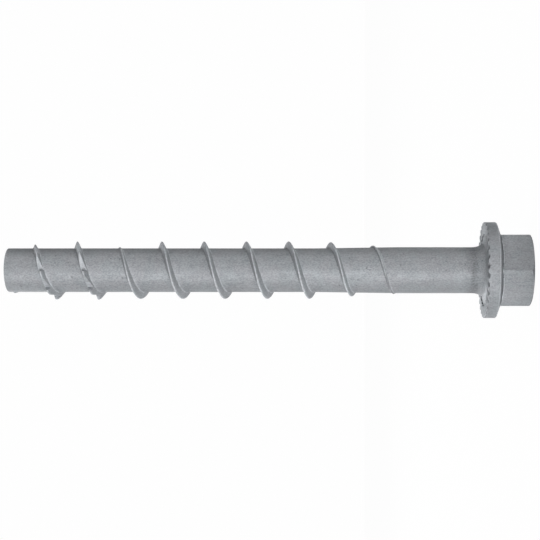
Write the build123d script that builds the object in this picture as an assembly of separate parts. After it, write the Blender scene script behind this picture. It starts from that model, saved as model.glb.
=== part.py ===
from build123d import *
from math import acos, atan, cos, degrees, pi, radians, sin, tan
import os

# Self-tapping concrete screw, cold formed in one piece: a hex head on a sloping flange
# whose seat is serrated, a plain shank, and a slimmer core that carries one coarse
# right-hand thread. The first turns of the thread are notched into cutting teeth.
# Sizes are millimetres. The origin is the centre of the head's flat top, which the
# screw stands on, and +Z runs from the head to the tip. Angles are degrees counted
# counter-clockwise from +X, as seen from the tip.

# Lengths along the axis
length_under_head = 100.0    # seat teeth to tip
head_height = 9.8            # top of the head to the seat teeth
shank_length = 18.3          # seat teeth to the end of the full shank
core_taper_length = 17.0     # where the shank narrows to the core
tip_chamfer = 0.2            # on the tip's edge

# Diameters of the plain body
core_diameter = 9.2
shank_diameter = 9.7

# Hex and its chamfer
across_flats = 14.8
head_face_diameter = 14.5    # flat circle on top of the hex
chamfer_angle = 30.0         # fall of the chamfer towards the corners
hex_corner_angle = -90.0     # one corner points along -Y

# Flange and its seat
flange_diameter = 20.2
flange_rim_height = 2.5      # straight rim, seat teeth to the edge of the slope
flange_slope = 19.0
rim_chamfer = 0.2            # on the edge between rim and slope
seat_tooth_count = 32
seat_inner_diameter = 15.3   # the teeth end here
seat_tooth_depth = 0.22      # at the rim
seat_tooth_land = 0.7        # flat left on each tooth, at the rim
tooth_overrun = 0.3          # the cuts between the teeth go this far past their ends
dish_depth = 0.32            # step from the teeth down to the shallow cone inside them
neck_foot_diameter = 11.3    # that cone rises to here, where the neck's fillet starts
neck_foot_rise = 0.1         # above the teeth
neck_radius = 3.85           # of the fillet, which runs out on the shank
neck_steps = 4               # straight lengths that follow it

# Thread, with turns counted from its start near the tip
thread_diameter = 12.1
thread_pitch = 8.9
thread_tip_gap = 0.12        # tip face to the near edge of the thread's foot
thread_end_gap = 18.9        # seat teeth to the thread's end
thread_start_angle = 180.0
thread_crest_width = 0.3
thread_root_width = 1.6      # where a full thread meets the core
thread_embed = 0.25          # how deep a full thread's foot reaches into the core
lead_in_turns = 1.0          # growing from a low start to full height
lead_in_height = 0.2
dip_turn = 2.44              # low place behind the last cutting tooth
dip_height = 0.22
dip_fall_turns = 0.22
dip_rise_turns = 0.52
run_out_turns = 2.0          # sinking back to the shank
run_out_height = 0.18
spans_per_turn = 2
rail_steps = 8               # lengths between the points of each span's rails

# Cutting teeth
first_notch = 228.0          # degrees of thread behind its start
notch_spacing = 43.0
notch_groups = (7, 5)        # a group on each of the first turns
notch_depths = (0.9, 1.2, 1.1, 0.95)  # from the crest to each flat, in order
notch_floor = 0.06           # least height of a flat over the core

# Heights and radii that follow from the sizes above
seat_z = head_height
tip_z = head_height + length_under_head
rim_top_z = seat_z - flange_rim_height
shank_end_z = seat_z + shank_length
core_start_z = shank_end_z + core_taper_length
core_radius = core_diameter / 2
shank_radius = shank_diameter / 2
rim_radius = flange_diameter / 2
seat_inner_radius = seat_inner_diameter / 2
neck_foot_radius = neck_foot_diameter / 2
crest_radius = thread_diameter / 2

# The thread's section, and the stretch that it winds along
full_height = crest_radius - core_radius
section_height = full_height + thread_embed
crest_half = thread_crest_width / 2
flank = (thread_root_width / 2 - crest_half) / full_height
foot_half = crest_half + flank * section_height
thread_start_z = tip_z - thread_tip_gap - foot_half
thread_turns = (thread_start_z - seat_z - thread_end_gap) / thread_pitch


def turned_body():
    """Everything that is round about the axis: flange, neck, shank, core and tip."""
    slope_apex_z = rim_top_z - rim_radius * tan(radians(flange_slope))
    neck_sweep = acos(1 - (neck_foot_radius - shank_radius) / neck_radius)
    neck_top_z = seat_z + neck_foot_rise + neck_radius * sin(neck_sweep)
    neck_angles = [neck_sweep * (1 - k / neck_steps) for k in range(neck_steps + 1)]
    neck = [
        (
            shank_radius + neck_radius * (1 - cos(angle)),
            neck_top_z - neck_radius * sin(angle),
        )
        for angle in neck_angles
    ]
    with BuildPart() as body:
        with BuildSketch(Plane.XZ) as half_section:
            with BuildLine():
                Polyline(
                    (0, slope_apex_z),
                    (rim_radius, rim_top_z),
                    (rim_radius, seat_z),
                    (seat_inner_radius, seat_z),
                    (seat_inner_radius, seat_z - dish_depth),
                    *neck,
                    (shank_radius, shank_end_z),
                    (core_radius, core_start_z),
                    (core_radius, tip_z),
                    (0, tip_z),
                    close=True,
                )
            make_face()
            corners = half_section.vertices()
            chamfer(corners.sort_by_distance((rim_radius, rim_top_z))[0], rim_chamfer)
            corners = half_section.vertices()
            chamfer(corners.sort_by_distance((core_radius, tip_z))[0], tip_chamfer)
        revolve(axis=Axis.Z)
    return body.part


def hex_head():
    """The hex prism down to the flange, with its corners chamfered at the top."""
    prism = extrude(
        RegularPolygon(
            across_flats / 2, 6, major_radius=False, rotation=hex_corner_angle
        ),
        rim_top_z,
    )
    face_radius = head_face_diameter / 2
    chamfer_cone = Cone(
        face_radius,
        face_radius + rim_top_z / tan(radians(chamfer_angle)),
        rim_top_z,
        align=(Align.CENTER, Align.CENTER, Align.MIN),
    )
    return prism & chamfer_cone


def seat_grooves():
    """Round-bottomed grooves between the seat's radial teeth.

    Each is a cone with its apex on the axis at the height of the teeth, tilted so that
    it dips by the tooth depth at the rim and leaves the land there. Width and depth
    then shrink together towards the axis, so the lands all lie in one plane.
    """
    dip = atan(seat_tooth_depth / rim_radius)
    half_width = pi / seat_tooth_count - seat_tooth_land / 2 / rim_radius
    tilt = atan((cos(dip) - cos(half_width)) / sin(dip))
    half_angle = tilt + dip
    near = (seat_inner_radius - tooth_overrun) / cos(tilt)
    far = (rim_radius + tooth_overrun) / cos(tilt)
    cutter = Pos(0, 0, near) * Cone(
        near * tan(half_angle),
        far * tan(half_angle),
        far - near,
        align=(Align.CENTER, Align.CENTER, Align.MIN),
    )
    level = Pos(0, 0, seat_z) * Rot(0, 90 - degrees(tilt), 0)
    step = 360 / seat_tooth_count
    return [Rot(0, 0, step * (k + 0.5)) * level * cutter for k in range(seat_tooth_count)]


def eased(share):
    """0 to 1 with a level start and end."""
    share = min(max(share, 0.0), 1.0)
    return share * share * (3 - 2 * share)


def crest_at(turn):
    """Radius of the thread's crest, so many turns from its start."""
    low = core_radius + lead_in_height
    lead_in = low + (crest_radius - low) * min(turn / lead_in_turns, 1.0)
    past_dip = turn - dip_turn
    away = past_dip / dip_rise_turns if past_dip > 0 else -past_dip / dip_fall_turns
    low = core_radius + dip_height
    dip = low + (crest_radius - low) * eased(away)
    low = shank_radius + run_out_height
    left = (thread_turns - turn) / run_out_turns
    run_out = low + (crest_radius - low) * eased(left)
    return min(lead_in, dip, run_out)


def thread_height_at(turn):
    return thread_start_z - thread_pitch * turn


def thread_span(first, last):
    """A short length of ridge between two turns, with four rails at its corners.

    Two rails are the feet inside the core and two are the edges of the narrow crest,
    and ruled faces join them. Where the crest sinks, at the start, the dip and the
    run-out, the whole section sinks with it and the ridge narrows.
    """
    def rail(sunk, offset):
        points = []
        for k in range(rail_steps + 1):
            turn = first + (last - first) * k / rail_steps
            radius = crest_at(turn) - sunk
            angle = radians(thread_start_angle - 360 * turn)
            height = thread_height_at(turn) + offset
            points.append((radius * cos(angle), radius * sin(angle), height))
        return Spline(*points)

    rails = [
        rail(section_height, foot_half),
        rail(0, crest_half),
        rail(0, -crest_half),
        rail(section_height, -foot_half),
    ]
    pairs = list(zip(rails, rails[1:] + rails[:1]))
    faces = [Face.make_surface_from_curves(one, other) for one, other in pairs]
    for end in (0, 1):
        edges = [Line(one @ end, other @ end) for one, other in pairs]
        faces.append(Face(Wire(edges)))
    return Solid(Shell(faces))


def thread():
    """The whole ridge, joined from spans of about half a turn."""
    count = round(thread_turns * spans_per_turn)
    ends = [thread_turns * k / count for k in range(count + 1)]
    spans = [thread_span(first, last) for first, last in zip(ends, ends[1:])]
    return spans[0] + spans[1:]


def notches():
    """Saw-tooth cuts: a flat that drops to a radial wall, the tooth's leading face."""
    cutters = []
    for turn_number, count in enumerate(notch_groups):
        for k in range(count):
            behind = first_notch + notch_spacing * k + 360 * turn_number
            flat = crest_at(behind / 360) - notch_depths[k % len(notch_depths)]
            floor = max(flat, core_radius + notch_floor)
            cutter = Box(
                2 * full_height,
                crest_radius,
                thread_pitch * 0.8,
                align=(Align.MIN, Align.MIN, Align.CENTER),
            )
            place = Pos(0, 0, thread_height_at(behind / 360))
            turned = Rot(0, 0, thread_start_angle - behind)
            cutters.append(place * turned * Pos(floor, 0, 0) * cutter)
    return cutters


screw = turned_body() + hex_head() - seat_grooves()
screw += thread() - notches()

os.makedirs("parts", exist_ok=True)
export_step(screw, "parts/concrete_screw.step")
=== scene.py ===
import math

import bpy
from mathutils import Matrix, Vector


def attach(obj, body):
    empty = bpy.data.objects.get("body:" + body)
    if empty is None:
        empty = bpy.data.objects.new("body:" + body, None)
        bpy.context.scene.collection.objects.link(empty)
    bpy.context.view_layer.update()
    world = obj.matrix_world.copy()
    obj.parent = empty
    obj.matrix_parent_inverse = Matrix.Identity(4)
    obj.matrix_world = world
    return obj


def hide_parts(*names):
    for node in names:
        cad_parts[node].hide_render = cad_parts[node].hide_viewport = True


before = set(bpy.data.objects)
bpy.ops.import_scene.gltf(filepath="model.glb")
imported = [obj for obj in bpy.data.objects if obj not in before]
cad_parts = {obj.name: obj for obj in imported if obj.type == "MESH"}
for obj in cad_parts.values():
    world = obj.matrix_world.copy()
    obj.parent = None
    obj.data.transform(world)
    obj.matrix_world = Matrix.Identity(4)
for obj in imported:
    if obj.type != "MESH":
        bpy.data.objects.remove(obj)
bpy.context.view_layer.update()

# Core and thread. The steel blank is cold formed, and one coarse right-hand ridge is
# rolled up out of its core. The ridge grows from a low start near the blunt tip, drops
# once behind the cutting teeth, and runs out on the slightly thicker shank.
mm = 0.001  # sizes are in millimetres, and heights count from the head's flat top
tip_z = 109.8
core_start_z = 45.1  # the core narrows no more from here to the tip
shank_end_z = 28.1
join_z = 15.5  # where this rod is cut square, to be joined to the head's neck
core_radius = 4.6
shank_radius = 4.85
crest_radius = 6.05
pitch = 8.9
thread_start_z = 108.736
thread_turns = 8.995

# Distances from the crest line to the lengthwise lines of the mesh, close together on
# the ridge and its roots and wide apart on the plain core.
ridge_lines = (0, 0.05, 0.1, 0.17, 0.27, 0.38, 0.49, 0.58, 0.66, 0.73, 0.8, 0.88, 1.0,
               1.2, 1.8, 2.7, 3.6, pitch / 2)
line_steps = [-step for step in ridge_lines[:0:-1]] + list(ridge_lines)
steps_around = 128
mesh_turns = 13  # more than the rod needs, so that both ends can be cut square
first_crest_z = thread_start_z - 11.5 * pitch

bpy.ops.object.select_all(action="DESELECT")
bpy.ops.mesh.primitive_plane_add(size=mm)
rod = bpy.context.object
rod.name = "concrete_screw_body"
bpy.ops.object.mode_set(mode="EDIT")
bpy.ops.mesh.merge(type="CENTER")
bpy.ops.transform.translate(
    value=(core_radius * mm, 0, (first_crest_z - pitch / 2) * mm)
)
for here, there in zip(line_steps, line_steps[1:]):
    bpy.ops.mesh.extrude_region_move(
        TRANSFORM_OT_translate={"value": (0, 0, (there - here) * mm)}
    )
bpy.ops.object.mode_set(mode="OBJECT")

bpy.ops.object.modifier_add(type="SCREW")
winding = rod.modifiers[-1]
winding.angle = 2 * math.pi
winding.iterations = mesh_turns
winding.screw_offset = pitch * mm
winding.steps = winding.render_steps = steps_around
winding.use_merge_vertices = True
winding.merge_threshold = 0.01 * mm
winding.use_normal_calculate = True
bpy.ops.object.modifier_apply(modifier=winding.name)
bpy.ops.object.mode_set(mode="EDIT")
bpy.ops.mesh.select_all(action="SELECT")
bpy.ops.mesh.remove_doubles(threshold=0.01 * mm)
bpy.ops.object.mode_set(mode="OBJECT")


def eased(share):
    """0 to 1 with a level start and end."""
    share = min(max(share, 0.0), 1.0)
    return share * share * (3 - 2 * share)


# The walls of the cutting teeth, in turns behind the ridge's start. Cutting them leaves
# a small raised lip at each.
first_wall = 228  # degrees
wall_spacing = 43
first_group, second_group = 7, 5
walls = [(first_wall + wall_spacing * count) / 360 for count in range(first_group)]
walls += [wall + 1 for wall in walls[:second_group]]
lip_height = 0.17
lip_turns = 0.05

# How high the crest stands at its low places, and the turns that it falls and rises in.
lead_in_height = 0.2
lead_in_growth = 1.25
dip_turn = 2.44
dip_height = 0.22
dip_fall_turns = 0.22
dip_rise_turns = 0.52
run_out_height = 0.18
run_out_turns = 2
fall_past_ends = 12  # millimetres for each turn, so that the ridge stops


def crest_at(turn):
    """Radius of the ridge's crest, so many turns behind its start."""
    lead_in = core_radius + lead_in_height + lead_in_growth * min(turn, 1.0)
    past_dip = turn - dip_turn
    away = past_dip / dip_rise_turns if past_dip > 0 else -past_dip / dip_fall_turns
    full_rise = crest_radius - core_radius - dip_height
    dip = core_radius + dip_height + full_rise * eased(away)
    left = (thread_turns - turn) / run_out_turns
    low_end = shank_radius + run_out_height
    run_out = low_end + (crest_radius - low_end) * eased(left)
    ends = fall_past_ends * max(-turn, turn - thread_turns, 0)
    lip = lip_height * eased(1 - min(abs(turn - wall) for wall in walls) / lip_turns)
    return min(lead_in, dip, run_out) - ends + lip


# The ridge is drawn out of the straight tube: its crest is rounded, the flank towards
# the tip is a little steeper than the other, and a small fillet runs along each root.
# Rolling also leaves a thin bead beside the root on the head's side.
tip_flank = 0.19  # along the screw, for each millimetre of height
head_flank = 0.3
crest_rounding = 0.456
root_fillet = 0.2
bead_height = 0.05
bead_gap = 0.06
bead_half_width = 0.17
bead_least_ridge = 0.15


def section_at(x, y, z):
    """The nearest crest's radius, the radii of its ridge and of the body here, and the
    share of the bead's height."""
    turn = (0.5 - math.atan2(y, x) / (2 * math.pi)) % 1
    turn += round((thread_start_z - z) / pitch - turn)
    beside = z - (thread_start_z - turn * pitch)
    narrowed = min(max((z - shank_end_z) / (core_start_z - shank_end_z), 0), 1)
    body = shank_radius + (core_radius - shank_radius) * narrowed
    fall = math.hypot(beside, crest_rounding) - crest_rounding
    crest = crest_at(turn)
    ridge = crest - fall / (tip_flank if beside > 0 else head_flank)
    foot = max(crest - body, 0) * head_flank + crest_rounding
    away = abs(beside + math.sqrt(foot * foot - crest_rounding ** 2) + bead_gap)
    bead = eased(1 - away / bead_half_width) * (crest - body > bead_least_ridge)
    return crest, ridge, body, bead


for vertex in rod.data.vertices:
    crest, ridge, body, bead = section_at(*vertex.co / mm)
    overlap = max(root_fillet - abs(ridge - body), 0)
    fillet = overlap * overlap / (4 * root_fillet)
    radius = max(ridge, body) + fillet + bead_height * bead
    vertex.co.x *= radius / core_radius
    vertex.co.y *= radius / core_radius

bpy.ops.object.mode_set(mode="EDIT")
for cut_z, outwards in ((tip_z, 1), (join_z, -1)):
    bpy.ops.mesh.select_all(action="SELECT")
    bpy.ops.mesh.bisect(
        plane_co=(0, 0, cut_z * mm), plane_no=(0, 0, outwards), use_fill=True,
        clear_outer=True, threshold=1e-7,
    )
bpy.ops.object.mode_set(mode="OBJECT")

# The points of the lower end are moved to even steps, as the neck's are.
step_angle = 2 * math.pi / steps_around
for vertex in rod.data.vertices:
    if abs(vertex.co.z - join_z * mm) < 1e-6:
        azimuth = round(math.atan2(vertex.co.y, vertex.co.x) / step_angle) * step_angle
        vertex.co.x = shank_radius * mm * math.cos(azimuth)
        vertex.co.y = shank_radius * mm * math.sin(azimuth)
bpy.ops.object.mode_set(mode="EDIT")
bpy.ops.mesh.select_all(action="SELECT")
bpy.ops.mesh.remove_doubles(threshold=0.004 * mm)
bpy.ops.object.mode_set(mode="OBJECT")


# Cutting teeth. On the first turns the ridge is notched after it is rolled: each notch
# is a flat that drops to a steep wall, and the wall is the leading face of a hard tooth.
def carve(shape, tool, operation):
    """Applies the tool to the shape with a boolean, and removes the tool."""
    bpy.ops.object.select_all(action="DESELECT")
    bpy.context.view_layer.objects.active = shape
    shape.select_set(True)
    bpy.ops.object.modifier_add(type="BOOLEAN")
    cut = shape.modifiers[-1]
    cut.operation = operation
    cut.solver = "EXACT"
    cut.object = tool
    bpy.ops.object.modifier_apply(modifier=cut.name)
    bpy.data.objects.remove(tool)


notch_depths = (0.9, 1.2, 1.1, 0.95)  # from the crest to each flat, in order
least_floor = 0.06  # of a flat over the core
past_lip = 0.1  # turns behind a wall, where the crest has no lip
floors = []
for count, wall in enumerate(walls):
    depth = notch_depths[count % first_group % len(notch_depths)]
    floors.append(max(crest_at(wall + past_lip) - depth, core_radius + least_floor))

# Neighbouring cutters overlap, so every second notch is cut first, and then the rest.
cutter_size = (3, 5, 7)  # outwards, around the screw, and along it
for first in (0, 1):
    cutters = []
    for wall, floor in zip(walls[first::2], floors[first::2]):
        azimuth = math.radians(180 - 360 * wall)
        bpy.ops.object.select_all(action="DESELECT")
        bpy.ops.mesh.primitive_cube_add(size=1)
        cutter = bpy.context.object
        cutter.scale = [side * mm for side in cutter_size]
        cutter.rotation_euler.z = azimuth
        cutter.location = Matrix.Rotation(azimuth, 3, "Z") @ Vector(
            ((floor + cutter_size[0] / 2) * mm, cutter_size[1] / 2 * mm, 0)
        )
        cutter.location.z = (thread_start_z - pitch * wall) * mm
        cutters.append(cutter)
    for cutter in cutters:
        cutter.select_set(True)
    bpy.ops.object.join()
    bpy.ops.object.transform_apply()
    carve(rod, bpy.context.object, "DIFFERENCE")

# Flange, seat and neck. The flange is upset from the same blank. Its face towards the
# shank is a ring of rolled teeth that stop the head from working loose. Inside them a
# shallow cone rises to the foot of the neck's fillet.
seat_z = 9.8
rim_radius = 10.1
rim_top_z = 7.33
rim_ring_z = 8.4  # a ring of points between the rim's edges
edge_radius = 0.25  # of the rounding between rim and slope
edge_steps = 4
slope = math.radians(19)
slope_ring_radius = 9.0
apex_z = rim_top_z - rim_radius * math.tan(slope)
seat_inner_radius = 7.65
dish_z = 9.48
dish_ring_radius = 6.65
dish_ring_rise = 0.21
neck_foot = (5.65, 9.9)
neck_radius = 3.85
neck_steps = 12
neck_ring_z = 13.2
neck_end_z = 14.2

half_section = [
    (0, apex_z), (slope_ring_radius, apex_z + slope_ring_radius * math.tan(slope)),
]
turn_angle = math.pi / 2 - slope
setback = edge_radius * math.tan(turn_angle / 2)
middle = Vector((rim_radius - edge_radius, rim_top_z + setback))
for step in range(edge_steps + 1):
    angle = -turn_angle * (1 - step / edge_steps)
    half_section.append((
        middle.x + edge_radius * math.cos(angle), middle.y + edge_radius * math.sin(angle)
    ))
half_section += [
    (rim_radius, rim_ring_z), (rim_radius, seat_z), (seat_inner_radius, seat_z),
    (seat_inner_radius, dish_z), (dish_ring_radius, dish_z + dish_ring_rise),
]
neck_sweep = math.acos(1 - (neck_foot[0] - shank_radius) / neck_radius)
for step in range(neck_steps + 1):
    angle = neck_sweep * (1 - step / neck_steps)
    half_section.append((
        shank_radius + neck_radius * (1 - math.cos(angle)),
        neck_foot[1] + neck_radius * (math.sin(neck_sweep) - math.sin(angle)),
    ))
half_section += [
    (shank_radius, neck_ring_z), (shank_radius, neck_end_z), (0, neck_end_z),
]

bpy.ops.object.select_all(action="DESELECT")
bpy.ops.mesh.primitive_plane_add(size=mm)
head = bpy.context.object
head.name = "concrete_screw_head"
bpy.ops.object.mode_set(mode="EDIT")
bpy.ops.mesh.merge(type="CENTER")
bpy.ops.transform.translate(value=(0, 0, apex_z * mm))
for here, there in zip(half_section, half_section[1:]):
    bpy.ops.mesh.extrude_region_move(TRANSFORM_OT_translate={
        "value": ((there[0] - here[0]) * mm, 0, (there[1] - here[1]) * mm)
    })
bpy.ops.mesh.select_all(action="SELECT")
bpy.ops.mesh.spin(
    steps=steps_around, angle=2 * math.pi, center=(0, 0, 0), axis=(0, 0, 1)
)
bpy.ops.mesh.select_all(action="SELECT")
bpy.ops.mesh.remove_doubles(threshold=0.005 * mm)
bpy.ops.mesh.normals_make_consistent(inside=False)
bpy.ops.object.mode_set(mode="OBJECT")

# One tapered roller makes a groove that is widest and deepest at the rim. 32 of them
# leave flat lands, all in one plane.
tooth_count = 32
groove_depth = 0.28  # at the rim
half_land = 0.35
roller_reach = (7.35, 10.5)  # from the axis, past both edges of the seat
dip = math.atan(groove_depth / rim_radius)
half_width = math.pi / tooth_count - half_land / rim_radius
tilt = math.atan((math.cos(dip) - math.cos(half_width)) / math.sin(dip))
near, far = (reach / math.cos(tilt) for reach in roller_reach)
rollers = []
for count in range(tooth_count):
    bpy.ops.object.select_all(action="DESELECT")
    bpy.ops.mesh.primitive_cone_add(
        vertices=64, radius1=near * math.tan(tilt + dip) * mm,
        radius2=far * math.tan(tilt + dip) * mm, depth=(far - near) * mm,
        location=(0, 0, (near + far) / 2 * mm),
    )
    roller = bpy.context.object
    bpy.ops.object.transform_apply()
    roller.matrix_world = (
        Matrix.Translation((0, 0, seat_z * mm))
        @ Matrix.Rotation(2 * math.pi / tooth_count * (count + 0.5), 4, "Z")
        @ Matrix.Rotation(math.pi / 2 - tilt, 4, "Y")
    )
    rollers.append(roller)
for roller in rollers:
    roller.select_set(True)
bpy.ops.object.join()
bpy.ops.object.transform_apply()
carve(head, bpy.context.object, "DIFFERENCE")

# Hex. Six flats for a 15 mm socket, forged with slightly rounded corners and with a
# 30 degree chamfer round the end.
across_flats = 14.8
hex_height = 8
corner_rounding = 0.16
face_radius = 7.25
chamfer_angle = 30
bpy.ops.object.select_all(action="DESELECT")
bpy.ops.mesh.primitive_cylinder_add(
    vertices=6, radius=across_flats / 2 / math.cos(math.pi / 6) * mm,
    depth=hex_height * mm, location=(0, 0, hex_height / 2 * mm),
)
hexagon = bpy.context.object
hexagon.name = "hex"
bpy.ops.object.transform_apply()
bpy.ops.object.mode_set(mode="EDIT")
bpy.ops.mesh.select_mode(type="EDGE")
bpy.ops.mesh.select_all(action="DESELECT")
bpy.ops.object.mode_set(mode="OBJECT")
for edge in hexagon.data.edges:
    low, high = (hexagon.data.vertices[end].co.z for end in edge.vertices)
    edge.select = abs(low - high) > mm
bpy.ops.object.mode_set(mode="EDIT")
bpy.ops.mesh.bevel(offset=corner_rounding * mm, segments=3, affect="EDGES")
bpy.ops.object.mode_set(mode="OBJECT")
bpy.ops.object.select_all(action="DESELECT")
cone_height = 8.5
cone_radius = face_radius + cone_height / math.tan(math.radians(chamfer_angle))
bpy.ops.mesh.primitive_cone_add(
    vertices=192, radius1=face_radius * mm, radius2=cone_radius * mm,
    depth=cone_height * mm, location=(0, 0, cone_height / 2 * mm),
)
bpy.ops.object.transform_apply()
carve(hexagon, bpy.context.object, "INTERSECT")
carve(head, hexagon, "UNION")


# The hex runs into the flange with a small hollow fillet, and the edges of the seat's
# teeth and of the chamfer are softened by the forming and the coat.
def soften_edges(shape, wanted, width):
    """Rounds the edges that are wanted, going by their ends and their faces' bend."""
    bpy.ops.object.mode_set(mode="EDIT")
    bpy.ops.mesh.select_mode(type="EDGE")
    bpy.ops.mesh.select_all(action="DESELECT")
    bpy.ops.object.mode_set(mode="OBJECT")
    points = [vertex.co / mm for vertex in shape.data.vertices]
    normals = {}
    for face in shape.data.polygons:
        for key in face.edge_keys:
            normals.setdefault(key, []).append(face.normal)
    for edge in shape.data.edges:
        ends = [points[end] for end in edge.vertices]
        beside = normals.get(edge.key, ())
        edge.select = len(beside) == 2 and wanted(*ends, beside[0].angle(beside[1], 0))
    bpy.ops.object.mode_set(mode="EDIT")
    bpy.ops.mesh.bevel(offset=width * mm, segments=2, affect="EDGES")
    bpy.ops.object.mode_set(mode="OBJECT")


def on_slope(point):
    radius = math.hypot(point.x, point.y)
    return abs(point.z - apex_z - radius * math.tan(slope)) < 0.02 and radius < 8.6


foot_fillet = 0.17
tooth_rounding = 0.05
chamfer_rounding = 0.1
seat_edges_z = 9.0  # the edges of the teeth are past this height
end_edges_z = 1.0  # and those of the chamfer below this one
soften_edges(
    head, lambda a, b, bend: bend > 0.6 and on_slope(a) and on_slope(b), foot_fillet
)
soften_edges(
    head, lambda a, b, bend: bend > 0.35 and min(a.z, b.z) > seat_edges_z, tooth_rounding
)
soften_edges(
    head, lambda a, b, bend: bend > 0.35 and max(a.z, b.z) < end_edges_z,
    chamfer_rounding,
)

# Neck joint. The rod and the head are one blank, so the faces that close their ends are
# taken off, and the open ends are bridged in the plain shank.
for shape, end_z in ((head, neck_end_z), (rod, join_z)):
    bpy.ops.object.select_all(action="DESELECT")
    bpy.context.view_layer.objects.active = shape
    shape.select_set(True)
    bpy.ops.object.mode_set(mode="EDIT")
    bpy.ops.mesh.select_mode(type="FACE")
    bpy.ops.mesh.select_all(action="DESELECT")
    bpy.ops.object.mode_set(mode="OBJECT")
    for face in shape.data.polygons:
        face.select = abs(face.center.z / mm - end_z) < 0.01
    bpy.ops.object.mode_set(mode="EDIT")
    bpy.ops.mesh.delete(type="FACE")
    bpy.ops.object.mode_set(mode="OBJECT")
bpy.ops.object.select_all(action="DESELECT")
rod.select_set(True)
head.select_set(True)
bpy.context.view_layer.objects.active = rod
bpy.ops.object.join()
screw = bpy.context.object
screw.name = "screw"
bpy.ops.object.mode_set(mode="EDIT")
bpy.ops.mesh.select_mode(type="EDGE")
bpy.ops.mesh.select_all(action="DESELECT")
bpy.ops.mesh.select_non_manifold()
bpy.ops.mesh.bridge_edge_loops()
bpy.ops.mesh.select_all(action="SELECT")
bpy.ops.mesh.normals_make_consistent(inside=False)
bpy.ops.object.mode_set(mode="OBJECT")
bpy.ops.object.shade_smooth_by_angle(angle=math.radians(34))


# Zinc coat. A flake zinc is dipped and baked on the whole screw, about 10 microns thick.
# It is matt and finely granular, and a little warmer or cooler from place to place.
# Crests, flats and edges are lighter, partly as wear and partly as painted highlight, and
# roots and grooves are darker as painted shade.
def node(tree, kind, inputs, **settings):
    """Adds one node, sets it up, and fills or links its inputs."""
    added = tree.nodes.new(kind)
    for setting, value in settings.items():
        setattr(added, setting, value)
    for socket, value in inputs.items():
        if isinstance(value, bpy.types.NodeSocket):
            tree.links.new(value, added.inputs[socket])
        else:
            added.inputs[socket].default_value = value
    return added


def graded(tree, value, low, high, start, end):
    """Maps a value from low..high to start..end, with level ends."""
    return node(tree, "ShaderNodeMapRange", {
        "Value": value, "From Min": low, "From Max": high, "To Min": start, "To Max": end,
    }, interpolation_type="SMOOTHSTEP").outputs["Result"]


def maths(tree, operation, first, second):
    return node(
        tree, "ShaderNodeMath", {0: first, 1: second}, operation=operation
    ).outputs["Value"]


def tinted(tree, share, first, second, blend="MIX"):
    """Mixes two colours by a share."""
    mixer = node(tree, "ShaderNodeMix", {0: share, 6: first, 7: second},
                 data_type="RGBA", blend_type=blend)
    return mixer.outputs[2]


def wear_and_painted_light_on_thread(point):
    """How much wear and painted highlight, and how much painted shade, a point of the rod
    gets, 0 where it is plain.

    The crest and the bead are lighter, partly as wear and partly as painted highlight,
    and the roots are darker as painted shade.
    """
    radius = math.hypot(point.x, point.y)
    crest, ridge, body, bead = section_at(*point)
    height = crest - body
    if height < 0.1:
        return 0, 0
    above_root = abs(ridge - body) + 2 * max(radius - body - 0.25, 0)
    wear_and_highlight = 1.35 * eased((radius - crest + 0.2) / 0.18) * (height > 0.25)
    return max(wear_and_highlight, bead), eased(1 - above_root / 0.3) * (1 - bead)


def wear_and_painted_light_on_head(point, normal, small):
    """The same for a face's corner on the head. Small faces are rounded edges."""
    radius = math.hypot(point.x, point.y)
    # The straight rim.
    if point.z > 8.2 and radius > 10 and abs(normal.z) < 0.2:
        return 0, 0
    # The seat's lands, and the grooves between them. The lands' rounded outer edges get a
    # painted highlight, and the grooves and the dish get painted shade.
    if point.z > 9.2 and radius > 7.2:
        return 0.9 * (small and radius > 9.8), 1.5 * eased((seat_z - point.z) / 0.3)
    # The edge between the rim and the slope, with a painted highlight on its rounding.
    if point.z > 7 and radius > 9.8:
        return 1.0 * (-0.95 < normal.z < -0.1), 0
    # The chamfer's edges and the corners of the hex.
    if small and (point.z < 1.2 or radius > 8.3):
        return 0.7, 0
    # The slope, with painted shade that darkens it towards the hex, and the fillet at the
    # foot of the hex, with a painted highlight.
    if radius > 7 and point.z > 4:
        above_slope = apex_z + radius * math.tan(slope) - point.z
        foot = small and above_slope > 0.03
        shaded = 0.8 + eased(1 - (radius - 7) / 2)
        return 1.6 * foot, shaded * (normal.z < -0.5 and not foot)
    # The neck, with a band of painted shade near the flange.
    return 0, 0.8 * eased(1 - abs(point.z - 12.3) / 1.7)


def is_flat(middle, normal):
    """Tells whether a face is the flat of a notch."""
    for wall, floor in zip(walls, floors):
        azimuth = math.radians(180 - 360 * wall)
        outwards = Vector((math.cos(azimuth), math.sin(azimuth), 0))
        if (normal.dot(outwards) > 0.999 and abs(middle.dot(outwards) - floor) < 0.02
                and abs(middle.z - thread_start_z + pitch * wall) < 2.5):
            return True
    return False


coat_split_z = 14  # the head's coat below, the rod's above
first_flat_z, last_flat_z = 86, tip_z - 2
small_area = 0.06
# Each face corner gets two marks: how much lighter it is, as wear and painted highlight,
# and how much darker, as painted shade.
wear_and_highlight_marks = screw.data.attributes.new("wear_and_highlight", "FLOAT", "CORNER")
painted_shade_marks = screw.data.attributes.new("painted_shade", "FLOAT", "CORNER")
points = [vertex.co / mm for vertex in screw.data.vertices]
on_rod = [
    wear_and_painted_light_on_thread(point) if point.z > coat_split_z else (0, 0) for point in points
]
for face in screw.data.polygons:
    middle, normal = face.center / mm, face.normal
    small = face.area < small_area * mm * mm
    upright = first_flat_z < middle.z < last_flat_z and abs(normal.z) < 0.02
    flat_here = upright and is_flat(middle, normal)
    for corner, index in zip(face.loop_indices, face.vertices):
        coat = on_rod[index]
        # A notch's flat is lighter all over, partly as wear and partly as painted
        # highlight.
        if flat_here:
            coat = 1, 0
        elif middle.z < coat_split_z:
            coat = wear_and_painted_light_on_head(points[index], normal, small)
        wear_and_highlight_marks.data[corner].value, painted_shade_marks.data[corner].value = coat

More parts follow.
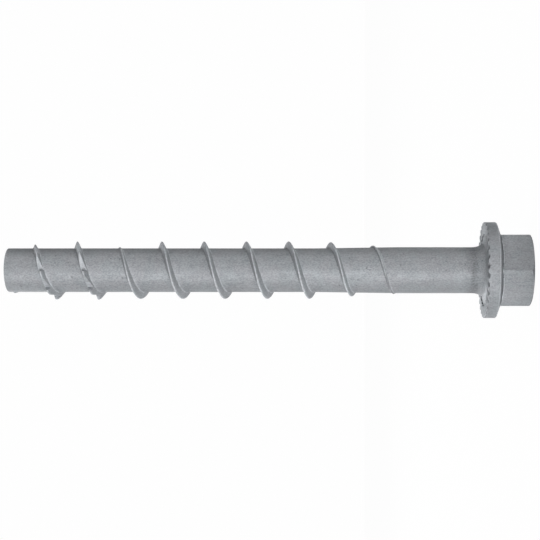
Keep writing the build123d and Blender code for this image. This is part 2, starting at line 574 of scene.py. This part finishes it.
zinc = bpy.data.materials.new("zinc_coat")
zinc.use_nodes = True
tree = zinc.node_tree
shader = tree.nodes["Principled BSDF"]
shader.inputs["Metallic"].default_value = 0.3
shader.inputs["IOR"].default_value = 1.45
where = node(tree, "ShaderNodeTexCoord", {}).outputs["Object"]
drawn = node(tree, "ShaderNodeMapping", {
    "Vector": where, "Scale": (1, 1, 0.5),
}).outputs["Vector"]
along = node(tree, "ShaderNodeMapping", {
    "Vector": where, "Scale": (1, 1, 0.07),
}).outputs["Vector"]


def noise(vector, scale, detail, roughness=0.5):
    return node(tree, "ShaderNodeTexNoise", {
        "Vector": vector, "Scale": scale, "Detail": detail, "Roughness": roughness,
    }).outputs["Fac"]


# Colour: the tint wanders over 3 mm, the flakes show as a fine grain, and rolling
# leaves faint lines along the shank.
tint = graded(tree, noise(where, 330, 2.5), 0.38, 0.62, 0, 1)
base = tinted(tree, tint, (0.348, 0.369, 0.388, 1), (0.362, 0.373, 0.393, 1))
flake_grain = noise(drawn, 5000, 1, 0.7)
cloud = graded(tree, noise(where, 140, 3), 0.3, 0.7, 0.96, 1.04)
grain = graded(tree, flake_grain, 0.3, 0.7, 0.84, 1.16)
lines = graded(tree, noise(along, 1700, 2), 0.3, 0.7, 0.96, 1.04)
tone = maths(tree, "MULTIPLY", maths(tree, "MULTIPLY", cloud, grain), lines)

# Single flakes that are brighter, and pinholes in the coat.
flakes = node(tree, "ShaderNodeTexVoronoi", {"Vector": where, "Scale": 2300})
chance = node(tree, "ShaderNodeSeparateColor", {"Color": flakes.outputs["Color"]})
inside = graded(tree, flakes.outputs["Distance"], 0.25, 0.55, 1, 0)
bright = maths(
    tree, "MULTIPLY", graded(tree, chance.outputs["Red"], 0.93, 0.97, 0, 0.14), inside
)
pits = maths(
    tree, "MULTIPLY", graded(tree, chance.outputs["Green"], 0.965, 0.985, 0, 1), inside
)
tone = maths(tree, "ADD", tone, bright)
tone = maths(tree, "SUBTRACT", tone, maths(tree, "MULTIPLY", pits, 0.25))

# Crests, flats and edges are lighter, partly as wear and partly as painted highlight, and
# roots, grooves, the seat, the slope and the neck are darker as painted shade.
wear_and_highlight = node(tree, "ShaderNodeAttribute", {}, attribute_name="wear_and_highlight").outputs["Fac"]
painted_shade = node(tree, "ShaderNodeAttribute", {}, attribute_name="painted_shade").outputs["Fac"]
patchy = graded(tree, noise(where, 1500, 2), 0.35, 0.6, 0.55, 1)
wear_and_highlight = maths(tree, "MULTIPLY", wear_and_highlight, patchy)
tone = maths(tree, "ADD", tone, maths(tree, "MULTIPLY", wear_and_highlight, 0.45))
tone = maths(tree, "SUBTRACT", tone, maths(tree, "MULTIPLY", painted_shade, 0.34))
shade = node(tree, "ShaderNodeCombineColor", {"Red": tone, "Green": tone, "Blue": tone})
colour = tinted(tree, 1.0, base, shade.outputs["Color"], "MULTIPLY")
tree.links.new(colour, shader.inputs["Base Color"])

# Roughness wanders, and the rubbed metal is smoother.
rough = graded(tree, noise(where, 700, 3), 0.3, 0.7, 0.56, 0.7)
rough = maths(tree, "SUBTRACT", rough, maths(tree, "MULTIPLY", wear_and_highlight, 0.14))
tree.links.new(rough, shader.inputs["Roughness"])

# Relief: the slight waviness that dipping leaves, the flakes, and the pinholes.
wavy = node(tree, "ShaderNodeBump", {
    "Height": noise(where, 520, 2), "Strength": 1.0, "Distance": 0.04 * mm,
})
flaky = node(tree, "ShaderNodeBump", {
    "Height": flake_grain, "Strength": 1.0, "Distance": 0.04 * mm,
    "Normal": wavy.outputs["Normal"],
})
pinned = node(tree, "ShaderNodeBump", {
    "Height": pits, "Strength": 1.0, "Distance": 0.03 * mm,
    "Normal": flaky.outputs["Normal"],
}, invert=True)
tree.links.new(pinned.outputs["Normal"], shader.inputs["Normal"])
screw.data.materials.clear()
screw.data.materials.append(zinc)
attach(screw, "root")
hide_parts("concrete_screw")

# Floor. A sheet of pale paper that runs out of the picture on all sides. The camera sees
# it nearly white, with the screw's faint shadow on it, and gloss on the coat sees some
# of that white too.
bpy.ops.object.select_all(action="DESELECT")
bpy.ops.mesh.primitive_plane_add(size=3)
ground = bpy.context.object
ground.name = "floor"
paper = bpy.data.materials.new("paper")
paper.use_nodes = True
tree = paper.node_tree
pale = tree.nodes["Principled BSDF"]
pale.inputs["Base Color"].default_value = (0.65, 0.65, 0.65, 1)
pale.inputs["Roughness"].default_value = 0.9
glow = node(tree, "ShaderNodeEmission", {"Color": (1, 1, 1, 1), "Strength": 1.0})
seen = node(tree, "ShaderNodeLightPath", {}).outputs
share = maths(
    tree, "MAXIMUM", maths(tree, "MULTIPLY", seen["Is Camera Ray"], 0.98),
    maths(tree, "MULTIPLY", seen["Is Glossy Ray"], 0.18),
)
blend = node(tree, "ShaderNodeMixShader", {
    0: share, 1: pale.outputs[0], 2: glow.outputs[0],
})
tree.links.new(blend.outputs[0], tree.nodes["Material Output"].inputs["Surface"])
ground.data.materials.append(paper)

# Lamps and surroundings. Five soft round lamps stand about the screw in a dim pale room,
# and the camera sees the room as white as the floor.
world = bpy.data.worlds.new("studio")
bpy.context.scene.world = world
world.use_nodes = True
tree = world.node_tree
surround = tree.nodes["Background"]
surround.inputs["Color"].default_value = (1, 1, 1, 1)
surround.inputs["Strength"].default_value = 0.07
white = node(tree, "ShaderNodeBackground", {"Color": (1, 1, 1, 1), "Strength": 0.992})
seen = node(tree, "ShaderNodeLightPath", {}).outputs
blend = node(tree, "ShaderNodeMixShader", {
    0: seen["Is Camera Ray"], 1: surround.outputs[0], 2: white.outputs[0],
})
tree.links.new(blend.outputs[0], tree.nodes["World Output"].inputs["Surface"])

lamp_width = 0.35
lamp_distance = 0.6
aim = Vector((0, 0, 0.055))  # the middle of the screw, in metres


def stand_lamp(name, azimuth, height, watts):
    """A round soft lamp, turned towards the screw, with its place in degrees."""
    data = bpy.data.lights.new(name, "AREA")
    data.shape = "DISK"
    data.size = lamp_width
    data.energy = watts
    thing = bpy.data.objects.new(name, data)
    bpy.context.collection.objects.link(thing)
    azimuth, height = math.radians(azimuth), math.radians(height)
    away = Vector((
        math.cos(azimuth) * math.cos(height), math.sin(azimuth) * math.cos(height),
        math.sin(height),
    ))
    thing.location = aim + lamp_distance * away
    thing.rotation_euler = (-away).to_track_quat("-Z", "Y").to_euler()


stand_lamp("key", -118, 5, 2.84)
stand_lamp("side", -27, 18, 0.8)
stand_lamp("top", 153, 50, 0.63)
stand_lamp("back", 93, 62, 1.98)
stand_lamp("edge", 123, 35, 1.75)

# Camera. It looks level at the upright screw and lies on its side, so that the screw
# lies across the picture.
camera = bpy.data.cameras.new("camera")
camera.lens = 82.745
camera.sensor_width = 36
camera.shift_x = -0.1217
camera.shift_y = 0.1022
viewer = bpy.data.objects.new("camera", camera)
bpy.context.collection.objects.link(viewer)
around = math.radians(3)
viewer.location = Matrix.Rotation(around, 3, "Z") @ Vector((-0.0116, -0.2619, 0.04094))
viewer.rotation_euler = (math.radians(90), math.radians(90), around)
bpy.context.scene.camera = viewer
bpy.context.scene.view_settings.view_transform = "Standard"
